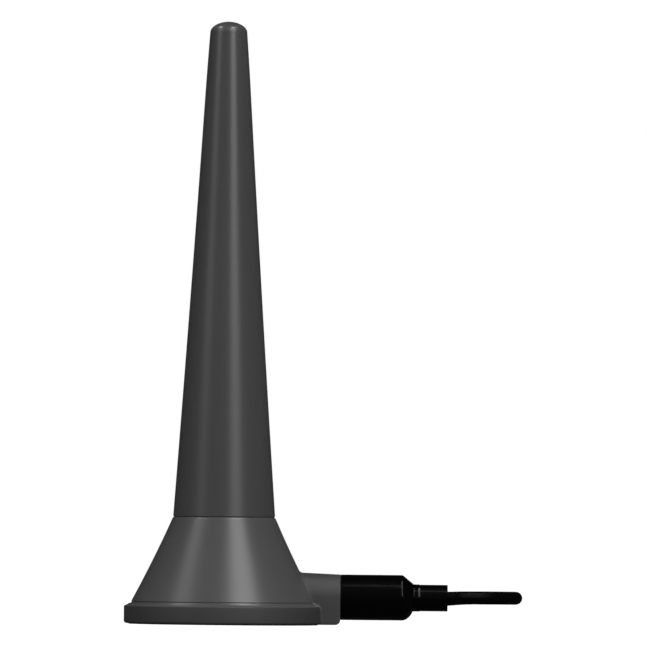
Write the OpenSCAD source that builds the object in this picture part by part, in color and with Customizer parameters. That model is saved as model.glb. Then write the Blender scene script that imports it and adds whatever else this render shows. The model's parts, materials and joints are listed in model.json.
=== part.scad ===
// Magnetic vehicle antenna: a tapered mast on a flared cone base, with its thin coaxial cable.
// Millimetres. The origin is on the roof under the mast, +Z is up and +X points along the cable exit.

/* [Mast] */
// Height of the whole antenna above the roof
overall_h = 128.8; // [110:0.1:180]
// Height of the dome that closes the tip
dome_h = 2.2; // [1:0.1:3.5]
// Diameter of the taper just below the dome
tip_d = 7.9; // [7.1:0.1:11]
// Chamfer between the taper and the dome
tip_chamfer = 0.12; // [0.05:0.01:0.5]
// Extra narrowing of the radius at the tip
tip_draw = 0.11; // [0:0.01:0.4]
// Length of mast over which the tip narrows
tip_draw_l = 14.6; // [8:0.1:25]
// Share of the taper that bows outwards near the foot
mast_flare = 0.085; // [0:0.005:0.3]
// Wall of the moulded sleeve
mast_wall = 1.7; // [1.2:0.1:2.2]
// Length of the tip above the hollow
tip_solid = 12.8; // [10:0.1:16]
// Chamfer at the foot that makes the seam line
foot_chamfer = 0.2; // [0.1:0.05:0.4]

/* [Base] */
// Diameter of the round rim
base_d = 42.5; // [38:0.1:60]
// Height of the rim above the roof
rim_h = 3.95; // [3:0.05:6]
// Height of the seam between base and mast
base_h = 22.95; // [20:0.05:30]
// Diameter at the seam, shared by base and mast
seam_d = 21.8; // [18:0.1:26]
// Width of the ledge between the rim and the foot of the cone
ledge_w = 1.2; // [0.9:0.05:2]
// Height that the ledge rises towards the cone
ledge_rise = 0.25; // [0.1:0.05:0.5]
// Share of the cone that flares outwards near its foot
cone_flare = 0.109; // [0:0.001:0.4]
// Wall of the moulded cone, measured level
housing_wall = 2; // [1.5:0.1:3]
// Thickness of the deck that carries the contact bush
deck_t = 3.9; // [3:0.1:5]

/* [Cable exit] */
// Length of the arched spout beyond the rim
spout_l = 3.75; // [2:0.05:10]
// Draft of the spout, so that it widens towards the cone
spout_draft = 2.4; // [0.5:0.1:4]
// Outer diameter of the strain relief boot and of the spout's end
boot_d = 9.7; // [8.8:0.1:11]
// Length of the boot's thick part
boot_l = 13.3; // [9:0.1:18]
// Length of the boot's shoulder
shoulder_l = 2.35; // [1:0.05:4]
// Diameter of the boot's neck
neck_d = 5.66; // [4.6:0.02:7]
// Length of the boot's neck
neck_l = 7.25; // [4:0.05:12]
// Diameter of the nozzle inside the boot
nozzle_d = 7; // [5.6:0.1:7.4]
// Diameter of the coaxial cable
cable_d = 2.8; // [2.2:0.1:3]

/* [Magnet] */
// Thickness of the protective pad
pad_t = 0.6; // [0.4:0.1:1.5]
// Height that the pad stands below the rim
pad_proud = 0.15; // [0.1:0.05:0.3]
// Height of the steel pot
pot_h = 3.6; // [3:0.1:6]
// Thickness of the pot's plate and of its wall
pot_wall = 1.1; // [0.8:0.1:1.5]
// Diameter of the hole through the magnet
magnet_bore_d = 8; // [4:0.5:14]
// Width of the spacer ring round the magnet
spacer_w = 1; // [0.6:0.1:2]
// Thread diameter of the pot screws
screw_d = 2; // [1.6:0.1:2.4]
// Length of the pot screws
screw_l = 6; // [4.5:0.1:6.5]

/* [Inside] */
// Height of the plug's part inside the sleeve
plug_h = 6; // [4:0.1:9]
// Length of the plug's spigot in the base
spigot_l = 5.75; // [4:0.05:7]
// Diameter of the brass stud
stud_d = 5.96; // [4:0.02:6.2]
// Height of the stud's cup round the coil former
cup_h = 6; // [4:0.1:10]
// Diameter of the radiator wire
wire_d = 0.9; // [0.6:0.05:1.1]
// Height of one turn of the radiator
coil_pitch = 5; // [3:0.1:8]
// Diameter of the contact bush in the deck
bush_d = 9; // [8:0.1:9.6]
// Thickness of the matching board
board_t = 0.8; // [0.6:0.1:1.6]
// Diameter of the contact spring at its wire's middle
spring_d = 3.2; // [2:0.1:4]
// Diameter of the spring wire
spring_wire_d = 0.4; // [0.3:0.05:0.5]

/* [Connector] */
// Diameter of the connector's thread
thread_d = 7.9; // [6:0.1:9]
// Length of the connector's thread
thread_l = 8; // [5:0.1:12]
// Width across the flats of the connector's collar
flats_w = 8; // [7:0.1:10]
// Length of the connector's collar
collar_l = 7; // [4:0.1:10]
// Length of the shrink sleeve behind the connector
sleeve_l = 11; // [8:0.1:16]

/* [Hidden] */
$fn = 96;

// Clearances of the fits
slide = 0.05;
press = 0.02;
layer = 0.01;
// Extra length of a cut that runs out of a face
through = 1;

// Colours
satin_grey = [0.24, 0.24, 0.25];
soft_black = [0.05, 0.05, 0.05];
brass = [0.78, 0.62, 0.32];
steel = [0.72, 0.73, 0.75];
copper = [0.72, 0.43, 0.28];

// Heights of the base's floors
pot_top_z = pad_t + pot_h;
board_top_z = pot_top_z + board_t;
plate_z = pot_top_z - pot_wall;
deck_top_z = base_h - spigot_l;
deck_z = deck_top_z - deck_t;
ledge_z = rim_h + ledge_rise;

// Outline of the base
base_r = base_d / 2;
foot_r = base_r - ledge_w;
seam_r = seam_d / 2;
rim_bottom_round = 0.55;
rim_top_round = 0.25;
ledge_fillet = 0.7;
seam_round = 0.25;
seam_angle = atan((foot_r - seam_r) / (base_h - ledge_z) * (1 - cone_flare));
cone_steps = 10;

// Outline of the mast
tip_r = tip_d / 2;
taper_top_z = overall_h - dome_h;
hollow_top_z = overall_h - tip_solid;
seat_top_z = base_h + plug_h;
mast_steps = 20;
dome_steps = 12;

function mast_r(z) =
    let (u = (taper_top_z - z) / (taper_top_z - base_h), straight_r = tip_r + tip_draw)
    straight_r + (seam_r - straight_r) * ((1 - mast_flare) * u + mast_flare * u * u)
    - tip_draw * pow(max(0, 1 - (taper_top_z - z) / tip_draw_l), 2);
function hollow_r(z) = mast_r(z) - mast_wall;
function cone_r(z) =
    let (u = (base_h - z) / (base_h - ledge_z))
    seam_r + (foot_r - seam_r) * ((1 - cone_flare) * u + cone_flare * u * u);
function cavity_r(z) = (z < ledge_z ? foot_r : cone_r(z)) - housing_wall;

// Plug, seal and stud at the seam
plug_r = hollow_r(seat_top_z) - slide;
plug_step = 1.7;
spigot_r = plug_r - plug_step;
socket_r = spigot_r + slide;
groove_depth = 0.8;
groove_r = spigot_r - groove_depth;
seal_r = (socket_r - groove_r) / 2 - layer;
groove_w = 1.4;
groove_z = deck_top_z + spigot_l / 2;
stud_r = stud_d / 2;
stud_flange_w = 1.62;
stud_flange_r = stud_r + stud_flange_w;
stud_flange_t = 1.2;
bush_r = bush_d / 2;
bush_flange_w = 1.1;
bush_flange_r = bush_r + bush_flange_w;
bush_flange_t = 1.3;
stud_reach = 0.8;
stud_foot_z = deck_z - bush_flange_t - stud_reach;

// Radiator inside the hollow mast
coil_gap = 0.1;
coil_r = hollow_r(hollow_top_z) - coil_gap - wire_d / 2;
former_r = coil_r - wire_d / 2 - coil_gap;
former_pin_step = 0.5;
former_pin_r = former_r - former_pin_step;
former_pin_l = 4;
pin_bore_spare = 1;
cup_z = seat_top_z + stud_flange_t;
cup_floor_t = 1;
cup_top_z = cup_z + cup_h;
cup_wall = 1.4;
cup_r = former_r + cup_wall;
former_end_gap = 2;
former_top_z = hollow_top_z - former_end_gap;
coil_end_gap = 3;
coil_top_z = former_top_z - coil_end_gap;
coil_sides = 6;
coil_rings = 10;

// Magnet and screws
pot_lip = 0.6;
pot_recess_r = cavity_r(pot_top_z) + pot_lip;
pot_r = pot_recess_r - slide;
pad_edge = 0.95;
pad_recess_r = base_r - pad_edge;
pad_r = pad_recess_r - 2 * slide;
magnet_gap = 0.2;
magnet_z = pad_t + magnet_gap;
spacer_r = pot_r - pot_wall - slide;
magnet_r = spacer_r - spacer_w - slide;
boss_r = 2;
boss_inset = 3.85;
boss_ring_r = cavity_r(pot_top_z) - boss_inset;
boss_angles = [60, 180, 300];
screw_r = screw_d / 2;
screw_head_w = 0.9;
screw_head_r = screw_r + screw_head_w;
socket_depth = 0.6;
screw_hole_spare = 0.5;
board_gap = 0.7;
board_r = boss_ring_r - boss_r - board_gap;

// Ribs below the deck, clear of the cable
rib_angles = [30:60:330];
rib_t = 1.2;
rib_h = 3.3;
rib_gap = 0.9;
rib_start_r = bush_flange_r + rib_gap;

// Coaxial cable and its exit
cable_r = cable_d / 2;
braid_r = cable_r * 0.75;
dielectric_r = cable_r * 0.54;
core_r = 0.25;
cable_z = board_top_z + braid_r;
spout_x = base_r + spout_l;
spout_root_x = seam_r;
boot_r = boot_d / 2;
spout_corner = 1.1;
nozzle_r = nozzle_d / 2;
boot_front_wall = 1.1;
nozzle_l = boot_l - boot_front_wall;
bead_rise = 0.35;
bead_w = 0.8;
bead_setback = 2.7;
bead_x = nozzle_l - bead_setback;
boot_foot_round = 0.2;
shoulder_round = 0.7;
neck_r = neck_d / 2;
neck_step = 0.07;
neck_step_l = 1.15;
neck_round = 0.2;
exit_x = spout_x + boot_l + shoulder_l + neck_l;
crimp_t = 0.4;
crimp_r = cable_r + crimp_t;
crimp_l = 3.4;
crimp_end_x = cavity_r(cable_z + crimp_r) - 2 * slide;
jacket_past_crimp = 0.4;
joint_r = 0.7;
joint_top_r = 0.45;
joint_gap = 0.7;
jacket_x = crimp_end_x - crimp_l - jacket_past_crimp;
core_x = spring_d / 2 + spring_wire_d / 2 + joint_gap + joint_r;
strip_l = (jacket_x - core_x) / 3;
braid_x = jacket_x - strip_l;
dielectric_x = braid_x - strip_l;

// Free cable, chosen by hand: out of the boot, round in a flat bend and back to the hank behind the base
run_points = [
    [47.9, 0, 6.05], [49.6, 0, 6.05], [51.3, 0, 6.05], [56.9, 1.5, 6.05], [61, 5.6, 6], [62.5, 11.2, 5.9],
    [61, 16.8, 5.8], [56.9, 20.9, 5.7], [51.3, 22.4, 5.6], [44, 22.5, 5.1], [36, 22.6, 4.1], [28, 22.9, 2.9],
    [20, 23.3, 2], [12, 23.8, 1.5]];
tail_points = [
    [-10.6, 98, 9.06], [-10.6, 102, 9.08], [-10.3, 107, 9.12], [-9.2, 112, 9.08], [-6.8, 116.6, 7.3],
    [-3, 120, 5.4], [1.8, 121.8, 4.3], [7, 122, 4], [12, 122, 4], [17.5, 122, 4]];
tube_sides = 8;
rings_per_point = 2;

// Hank of the rest of the cable, behind the base
hank_x = 2;
hank_near_y = 45.5;
hank_far_y = 95.5;
hank_in_r = 8.4;
hank_turns_wide = 5;
hank_rows = 3;
hank_out_r = hank_in_r + hank_turns_wide * cable_d;
hank_h = cable_d * (1 + (hank_rows - 1) * sin(60));
hank_top_r = hank_out_r - cable_d * (hank_rows - 1) / 2;
tie_w = 2.5;
tie_t = 0.6;
tie_y = (hank_near_y + hank_far_y) / 2;
tie_head = [3, 4.4, 3.6];

// Connector, lying behind the hank
connector_y = 122;
connector_x = 18;
connector_z = flats_w / 2;
sleeve_t = 0.48;
sleeve_step_l = 1;
ferrule_t = 1;
ferrule_r = cable_r + ferrule_t;
sleeve_on_cable_l = 3;
ferrule_l = sleeve_l - sleeve_on_cable_l;
shell_wall = 1.05;
shell_bore_r = thread_d / 2 - shell_wall;
rear_wall = 3;
collar_r = flats_w / 2 / cos(30);
collar_chamfer = 0.5;
thread_chamfer = 0.4;
contact_r = 0.5;
contact_tail_l = 0.5;
contact_inset = 1.5;
contact_slot_l = 2.5;
insulator_inset = 0.8;
insulator_neck_r = contact_r + 0.4;

// Points on an arc about a centre, from one angle to the other
function arc(centre, r, from, to, steps = 6) =
    [for (i = [0:steps]) let (a = from + (to - from) * i / steps) centre + r * [cos(a), sin(a)]];

// Hollow fillet where two lines leave a corner at two angles, the second one being the larger
function fillet(corner, r, first, second, steps = 6) =
    let (half = (second - first) / 2, middle = (first + second) / 2)
    arc(corner + r / sin(half) * [cos(middle), sin(middle)], r, first - 90, second - 270, steps);

// Point on the smooth curve through a list of points, a share t past point i
function curve_point(p, i, t) =
    let (a = p[max(i - 1, 0)], b = p[i], c = p[i + 1], d = p[min(i + 2, len(p) - 1)])
    (2 * b + (c - a) * t + (2 * a - 5 * b + 4 * c - d) * t * t + (3 * b - a - 3 * c + d) * t * t * t) / 2;
function curve(p, steps) =
    [for (i = [0:len(p) - 2], k = [0:steps - 1]) curve_point(p, i, k / steps), p[len(p) - 1]];
function unit(v) = v / norm(v);

// Closed tube along a path, with its rings square to the path
module tube(path, r, sides) {
    last = len(path) - 1;
    points = [for (i = [0:last])
        let (along = unit(path[min(i + 1, last)] - path[max(i - 1, 0)]),
             side = unit(cross(along, [0, 0, 1])),
             up = cross(side, along))
        for (k = [0:sides - 1])
            let (a = 360 * (k + 0.5) / sides)
            path[i] + r * (cos(a) * side + sin(a) * up)];
    walls = [for (i = [0:last - 1], k = [0:sides - 1])
        let (n = (k + 1) % sides, a = i * sides + k, b = i * sides + n)
        for (face = [[a, b, b + sides], [a, b + sides, a + sides]]) face];
    near_end = [for (k = [sides - 1:-1:0]) k];
    far_end = [for (k = [0:sides - 1]) last * sides + k];
    polyhedron(points = points, faces = concat([near_end], walls, [far_end]), convexity = 10);
}

// Wire wound round the Z axis
module helix(r, wire_r, from_z, to_z, turns, sides, rings) {
    steps = ceil(turns * rings);
    tube([for (i = [0:steps])
        let (u = i / steps)
        [r * cos(360 * turns * u), r * sin(360 * turns * u), from_z + (to_z - from_z) * u]],
        wire_r, sides);
}

// Places a child that stands on Z so that it lies along +X on the cable's line
module on_cable(x) translate([x, 0, cable_z]) rotate([0, 90, 0]) children();
module on_connector(x) translate([x, connector_y, connector_z]) rotate([0, 90, 0]) children();

module ring(outer, inner, h) difference() {
    cylinder(r = outer, h = h);
    translate([0, 0, -through]) cylinder(r = inner, h = h + 2 * through);
}

// Mast

module mast_sleeve() color(satin_grey) {
    dome_r = tip_r - tip_chamfer;
    taper_end_z = taper_top_z - tip_chamfer;
    pin_bore_r = former_pin_r + 2 * slide;
    pin_bore_z = hollow_top_z + former_pin_l + pin_bore_spare;
    taper = [for (i = [0:mast_steps])
        let (z = base_h + foot_chamfer + (taper_end_z - base_h - foot_chamfer) * i / mast_steps)
        [mast_r(z), z]];
    dome_ball_r = (dome_r * dome_r + dome_h * dome_h) / (2 * dome_h);
    dome = arc([0, overall_h - dome_ball_r], dome_ball_r, asin(1 - dome_h / dome_ball_r), 90, dome_steps);
    hollow = [for (i = [0:mast_steps])
        let (z = hollow_top_z + (seat_top_z - hollow_top_z) * i / mast_steps)
        [hollow_r(z), z]];
    rotate_extrude() polygon(concat(
        [[seam_r - foot_chamfer, base_h]], taper, dome,
        [[0, pin_bore_z], [pin_bore_r, pin_bore_z], [pin_bore_r, hollow_top_z]], hollow,
        [[hollow_r(seat_top_z), base_h]]));
}

module mast_foot_plug() color(soft_black) {
    hole_r = stud_r + press;
    rotate_extrude() polygon([
        [hole_r, deck_top_z], [spigot_r, deck_top_z], [spigot_r, groove_z - groove_w / 2],
        [groove_r, groove_z - groove_w / 2], [groove_r, groove_z + groove_w / 2],
        [spigot_r, groove_z + groove_w / 2], [spigot_r, base_h], [plug_r, base_h],
        [plug_r, seat_top_z], [hole_r, seat_top_z]]);
}

module mast_seal_ring() color(soft_black)
    translate([0, 0, groove_z]) rotate_extrude()
        translate([(socket_r + groove_r) / 2, 0]) circle(r = seal_r);

module mast_stud() color(brass) {
    cup_bore_r = former_r + slide;
    rotate_extrude() polygon([
        [0, stud_foot_z], [stud_r, stud_foot_z], [stud_r, seat_top_z], [stud_flange_r, seat_top_z],
        [stud_flange_r, cup_z], [cup_r, cup_z], [cup_r, cup_top_z], [cup_bore_r, cup_top_z],
        [cup_bore_r, cup_z + cup_floor_t], [0, cup_z + cup_floor_t]]);
}

module coil_former() color("ivory") {
    foot_z = cup_z + cup_floor_t;
    pin_top_z = hollow_top_z + former_pin_l;
    rotate_extrude() polygon([
        [0, foot_z], [former_r, foot_z], [former_r, former_top_z], [former_pin_r, former_top_z],
        [former_pin_r, pin_top_z], [0, pin_top_z]]);
}

module radiator_coil() color(copper) {
    first_z = cup_top_z + wire_d / 2;
    helix(coil_r, wire_d / 2, first_z, coil_top_z, (coil_top_z - first_z) / coil_pitch,
          coil_sides, coil_rings);
}

// Base

module housing_outline() {
    ledge_angle = atan2(ledge_rise, ledge_w - rim_top_round);
    foot_slope = cone_r(ledge_z) - cone_r(ledge_z + 1);
    cone_angle = 90 + atan(foot_slope);
    cone_start_z = ledge_z + ledge_fillet;
    cone = [for (i = [0:cone_steps])
        let (z = cone_start_z + (base_h - seam_round - cone_start_z) * i / cone_steps)
        [cone_r(z), z]];
    polygon(concat(
        [[0, pad_proud]],
        arc([base_r - rim_bottom_round, pad_proud + rim_bottom_round], rim_bottom_round, -90, 0),
        arc([base_r - rim_top_round, rim_h - rim_top_round], rim_top_round, 0, 90 - ledge_angle),
        fillet([foot_r, ledge_z], ledge_fillet, -ledge_angle, cone_angle),
        cone,
        arc([seam_r - seam_round, base_h - seam_round], seam_round, seam_angle, 90, 4),
        [[0, base_h]]));
}

// Arched spout: half round above the cable's line and upright below it
module spout() {
    root_r = boot_r + (spout_x - spout_root_x) * tan(spout_draft);
    side_outline = concat(
        [[spout_root_x, pad_proud]],
        arc([spout_x - spout_corner, pad_proud + spout_corner], spout_corner, -90, 0),
        [[spout_x, base_h], [spout_root_x, base_h]]);
    intersection() {
        union() {
            on_cable(spout_root_x) cylinder(r1 = root_r, r2 = boot_r, h = spout_x - spout_root_x);
            linear_extrude(cable_z)
                polygon([[spout_root_x, -root_r], [spout_x, -boot_r],
                         [spout_x, boot_r], [spout_root_x, root_r]]);
        }
        translate([0, base_r, 0]) rotate([90, 0, 0]) linear_extrude(2 * base_r) polygon(side_outline);
    }
}

// Outline of the nozzle with its snap bead, grown by a gap all round
module nozzle_outline(gap) polygon([
    [0, -gap], [nozzle_r + gap, -gap], [nozzle_r + gap, bead_x], [nozzle_r + bead_rise + gap, bead_x],
    [nozzle_r + bead_rise + gap, bead_x + bead_w], [nozzle_r - bead_rise + gap, nozzle_l + gap],
    [0, nozzle_l + gap]]);

module screw_places() for (a = boss_angles) rotate(a) translate([boss_ring_r, 0, 0]) children();

module housing_cavity() {
    cavity = [for (i = [0:cone_steps])
        let (z = pot_top_z + (deck_z - pot_top_z) * i / cone_steps)
        [cavity_r(z), z]];
    difference() {
        rotate_extrude() polygon(concat([[0, pot_top_z - through]],
            [[cavity_r(pot_top_z), pot_top_z - through]], cavity, [[0, deck_z]]));
        screw_places() translate([0, 0, pot_top_z]) cylinder(r = boss_r, h = deck_z);
        for (a = rib_angles) rotate(a)
            translate([rib_start_r, -rib_t / 2, deck_z - rib_h]) cube([base_r, rib_t, rib_h + through]);
    }
}

module base_housing() color(satin_grey) difference() {
    union() {
        rotate_extrude() housing_outline();
        spout();
        on_cable(spout_x) rotate_extrude() nozzle_outline(0);
    }
    translate([0, 0, -through]) cylinder(r = pad_recess_r, h = pad_t + through);
    cylinder(r = pot_recess_r, h = pot_top_z);
    housing_cavity();
    screw_places() translate([0, 0, pot_top_z - through])
        cylinder(r = screw_r + press, h = screw_l + through - pot_wall + screw_hole_spare);
    translate([0, 0, deck_z - through]) cylinder(r = bush_r + press, h = deck_t + 2 * through);
    translate([0, 0, deck_top_z]) cylinder(r = socket_r, h = spigot_l + through);
    on_cable(cavity_r(cable_z) - boss_r) cylinder(r = cable_r + slide, h = exit_x);
}

module contact_bush() color(brass) {
    bore_r = stud_r + press;
    rotate_extrude() polygon([
        [bore_r, deck_z - bush_flange_t], [bush_flange_r, deck_z - bush_flange_t],
        [bush_flange_r, deck_z], [bush_r, deck_z], [bush_r, deck_top_z], [bore_r, deck_top_z]]);
}

module contact_spring() color(steel) {
    wire_r = spring_wire_d / 2;
    helix(spring_d / 2, wire_r, board_top_z + wire_r + layer, stud_foot_z - wire_r - layer, 5, 6, 12);
}

module circuit_board() color("seagreen") translate([0, 0, pot_top_z]) cylinder(r = board_r, h = board_t);

module matching_capacitor() color("tan") translate([-5.5, 3, board_top_z + 0.55])
    cube([3.2, 1.6, 1.1], center = true);

module matching_inductor() color("dimgray") translate([-4, -4.5, board_top_z])
    cylinder(r = 1.5, h = 1.8);

module steel_pot() color(steel) difference() {
    translate([0, 0, pad_t]) cylinder(r = pot_r, h = pot_h);
    translate([0, 0, pad_t - through]) cylinder(r = pot_r - pot_wall, h = pot_h - pot_wall + through);
    screw_places() translate([0, 0, plate_z - layer]) screw_outline(press);
}

module magnet_ring() color([0.3, 0.3, 0.32])
    translate([0, 0, magnet_z]) ring(magnet_r, magnet_bore_d / 2, plate_z - magnet_z);

module magnet_spacer() color("whitesmoke")
    translate([0, 0, magnet_z]) ring(spacer_r, spacer_r - spacer_w, plate_z - magnet_z);

// Countersunk head and shank, standing on the head, grown by a gap
module screw_outline(gap) rotate_extrude() polygon([
    [0, 0], [screw_head_r + gap, 0], [screw_r + gap, pot_wall], [screw_r + gap, screw_l + gap],
    [0, screw_l + gap]]);

module pot_screws() color(steel) screw_places() translate([0, 0, plate_z]) difference() {
    screw_outline(0);
    translate([0, 0, -through]) cylinder(r = screw_r * 0.7, h = socket_depth + through, $fn = 6);
}

module base_pad() color(soft_black) cylinder(r = pad_r, h = pad_t);

// Cable held by the base

module strain_relief_boot() color(soft_black) {
    shoulder_x = boot_l + shoulder_l;
    boot_length = shoulder_x + neck_l;
    edge = shoulder_round * tan(20);
    on_cable(spout_x) difference() {
        rotate_extrude() polygon(concat(
            [[0, 0], [boot_r - boot_foot_round, 0], [boot_r, boot_foot_round], [boot_r, boot_l - edge]],
            [[boot_r - edge * 0.7, boot_l + edge * 0.7]],
            [[neck_r + neck_step, shoulder_x], [neck_r + neck_step, shoulder_x + neck_step_l],
             [neck_r, shoulder_x + neck_step_l + neck_step]],
            arc([neck_r - neck_round, boot_length - neck_round], neck_round, 0, 90),
            [[0, boot_length]]));
        rotate_extrude() nozzle_outline(slide);
        cylinder(r = cable_r + slide, h = boot_length + through);
    }
}

module layer_tube(from_x, outer, inner) on_cable(from_x) ring(outer, inner, exit_x - from_x);

module cable_inner() color(soft_black) layer_tube(jacket_x, cable_r, braid_r + layer);

module crimp_ring() color(steel) on_cable(crimp_end_x - crimp_l) ring(crimp_r, cable_r + layer, crimp_l);

module cable_braid() color(copper) layer_tube(braid_x, braid_r, dielectric_r + layer);

module cable_dielectric() color("white") layer_tube(dielectric_x, dielectric_r, core_r + layer);

module cable_core() color(copper) {
    on_cable(core_x) cylinder(r = core_r, h = exit_x - core_x);
    translate([core_x, 0, board_top_z])
        cylinder(r1 = joint_r, r2 = joint_top_r, h = cable_z + 2 * core_r - board_top_z);
}

// Free cable

module cable_run() color(soft_black) tube(curve(run_points, rings_per_point), cable_r, tube_sides);

module cable_tail() color(soft_black) tube(curve(tail_points, rings_per_point), cable_r, tube_sides);

// Section of the wound bundle, its outer side leaning in as the rows step back
hank_section = [[hank_in_r, 0], [hank_out_r, 0], [hank_out_r, cable_r], [hank_top_r, hank_h],
                [hank_in_r, hank_h]];

// Turns a section drawn outwards from the hank's middle into a straight length along +Y
module along_run(side, from_y, length) translate([hank_x, from_y + length, 0])
    rotate([90, 0, 0]) linear_extrude(length) mirror([side < 0 ? 1 : 0, 0]) children();

module cable_hank() color(soft_black) difference() {
    union() {
        for (side = [-1, 1]) along_run(side, hank_near_y, hank_far_y - hank_near_y) polygon(hank_section);
        translate([hank_x, hank_far_y, 0]) rotate_extrude(angle = 180) polygon(hank_section);
        translate([hank_x, hank_near_y, 0]) rotate(180) rotate_extrude(angle = 180) polygon(hank_section);
    }
    translate([hank_x - 2 * hank_out_r, tie_y - tie_w / 2 - slide, -through])
        cube([4 * hank_out_r, tie_w + 2 * slide, tie_t + through]);
}

// Strap round one straight run, with its locking head on the inside of the loop
module hank_tie(side) {
    lean = atan((hank_out_r - hank_top_r) / (hank_h - cable_r));
    outer = [[hank_in_r - tie_t, 0], [hank_out_r + tie_t, 0],
             [hank_out_r + tie_t, cable_r + tie_t * tan(lean / 2)],
             [hank_top_r + tie_t * tan((90 - lean) / 2), hank_h + tie_t],
             [hank_in_r - tie_t, hank_h + tie_t]];
    inner = [[hank_in_r, tie_t], [hank_out_r, tie_t], [hank_out_r, cable_r], [hank_top_r, hank_h],
             [hank_in_r, hank_h]];
    head_x = hank_in_r - tie_t - tie_head[0];
    along_run(side, tie_y - tie_w / 2, tie_w) difference() {
        polygon(outer);
        polygon(inner);
    }
    along_run(side, tie_y - tie_head[1] / 2, tie_head[1])
        translate([head_x, hank_h / 2 - tie_head[2] / 2]) square([tie_head[0], tie_head[2]]);
}

module hank_tie_left() color([0.1, 0.1, 0.1]) hank_tie(-1);
module hank_tie_right() color([0.1, 0.1, 0.1]) hank_tie(1);

// Connector

module connector_sleeve() color(soft_black) {
    on_cable_l = sleeve_on_cable_l;
    on_connector(connector_x - sleeve_l) rotate_extrude() polygon([
        [cable_r + press, 0], [cable_r + sleeve_t, 0], [cable_r + sleeve_t, on_cable_l - sleeve_step_l],
        [ferrule_r + sleeve_t, on_cable_l], [ferrule_r + sleeve_t, sleeve_l], [ferrule_r + press, sleeve_l],
        [ferrule_r + press, on_cable_l], [cable_r + press, on_cable_l]]);
}

module connector_ferrule() color(steel) on_connector(connector_x - ferrule_l)
    ring(ferrule_r, cable_r + press, ferrule_l);

// Six-sided collar with turned-off corners, then the plain outside of the thread
module connector_shell() {
    flat_r = flats_w / 2;
    corner_r = collar_r - collar_chamfer / 5;
    end = collar_l + thread_l;
    intersection() {
        rotate(30) cylinder(r = collar_r, h = collar_l, $fn = 6);
        rotate_extrude() polygon([[0, 0], [flat_r, 0], [corner_r, collar_chamfer],
            [corner_r, collar_l - collar_chamfer], [flat_r, collar_l], [0, collar_l]]);
    }
    rotate_extrude() polygon([[0, rear_wall], [thread_d / 2, rear_wall],
        [thread_d / 2, end - thread_chamfer], [thread_d / 2 - thread_chamfer, end], [0, end]]);
}

module connector_body() color(steel) on_connector(connector_x) difference() {
    connector_shell();
    translate([0, 0, rear_wall]) cylinder(r = shell_bore_r, h = collar_l + thread_l);
    translate([0, 0, -through]) cylinder(r = insulator_neck_r, h = rear_wall + 2 * through);
}

module connector_insulator() color("white") {
    front = collar_l + thread_l - insulator_inset;
    on_connector(connector_x) difference() {
        rotate_extrude() polygon([
            [0, 0], [insulator_neck_r - press, 0], [insulator_neck_r - press, rear_wall],
            [shell_bore_r - press, rear_wall], [shell_bore_r - press, front], [0, front]]);
        translate([0, 0, -through]) cylinder(r = contact_r + press, h = front + 2 * through);
    }
}

module connector_contact() color([0.83, 0.68, 0.3]) {
    contact_l = contact_tail_l + collar_l + thread_l - contact_inset;
    on_connector(connector_x - contact_tail_l) difference() {
        cylinder(r = contact_r, h = contact_l);
        translate([0, 0, contact_l - contact_slot_l])
            cylinder(r = contact_r / 2, h = contact_slot_l + through);
    }
}

mast_sleeve();
mast_foot_plug();
mast_seal_ring();
mast_stud();
coil_former();
radiator_coil();
base_housing();
contact_bush();
contact_spring();
circuit_board();
matching_capacitor();
matching_inductor();
steel_pot();
magnet_ring();
magnet_spacer();
pot_screws();
base_pad();
strain_relief_boot();
cable_inner();
crimp_ring();
cable_braid();
cable_dielectric();
cable_core();
cable_run();
cable_hank();
cable_tail();
hank_tie_left();
hank_tie_right();
connector_sleeve();
connector_ferrule();
connector_body();
connector_insulator();
connector_contact();
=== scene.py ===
# Magnetic car antenna: a tapered mast on a flared cone base, with its thin coaxial cable in a tied hank.
# Sizes are in millimetres until a mesh is made. The roof is z = 0, the mast stands on the origin and
# +X points along the cable exit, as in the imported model.

import json

import bmesh
import bpy
import numpy as np
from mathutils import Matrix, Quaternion, Vector


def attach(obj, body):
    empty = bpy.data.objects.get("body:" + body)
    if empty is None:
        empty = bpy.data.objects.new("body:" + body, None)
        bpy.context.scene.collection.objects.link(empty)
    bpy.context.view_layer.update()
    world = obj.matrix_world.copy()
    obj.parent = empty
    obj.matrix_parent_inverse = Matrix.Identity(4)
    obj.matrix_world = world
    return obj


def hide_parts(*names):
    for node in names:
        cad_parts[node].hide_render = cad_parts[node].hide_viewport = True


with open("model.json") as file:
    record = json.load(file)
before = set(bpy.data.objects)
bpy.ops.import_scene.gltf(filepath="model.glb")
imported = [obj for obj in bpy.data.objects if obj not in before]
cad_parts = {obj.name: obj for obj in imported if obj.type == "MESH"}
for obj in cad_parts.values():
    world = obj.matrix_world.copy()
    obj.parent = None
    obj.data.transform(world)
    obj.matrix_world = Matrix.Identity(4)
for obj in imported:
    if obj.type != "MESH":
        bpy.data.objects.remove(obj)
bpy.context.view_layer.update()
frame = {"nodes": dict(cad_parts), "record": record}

MM = 0.001
BODY = "root"
SIDES = 256

# Camera: its eye is just high enough for the boot to hide the connector behind it. LEAN is in degrees.
LENS = 1000
SENSOR_W = 36
EYE = (20.83, -3840, 37)
TARGET = (20.83, 0, 64.5)
LEAN = 0.55

# Materials: how wide the patches of shade in mouldings are, how much of its colour a coarser face keeps
# under the shade painted on it, what is added to its roughness, and how far its mask stays off the cone
FLOW_PATCH = 14.0
COARSE_PAINTED_SHADE = 0.62
COARSE_ROUGHNESS = 0.28
MASK_GAP = 0.05

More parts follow.
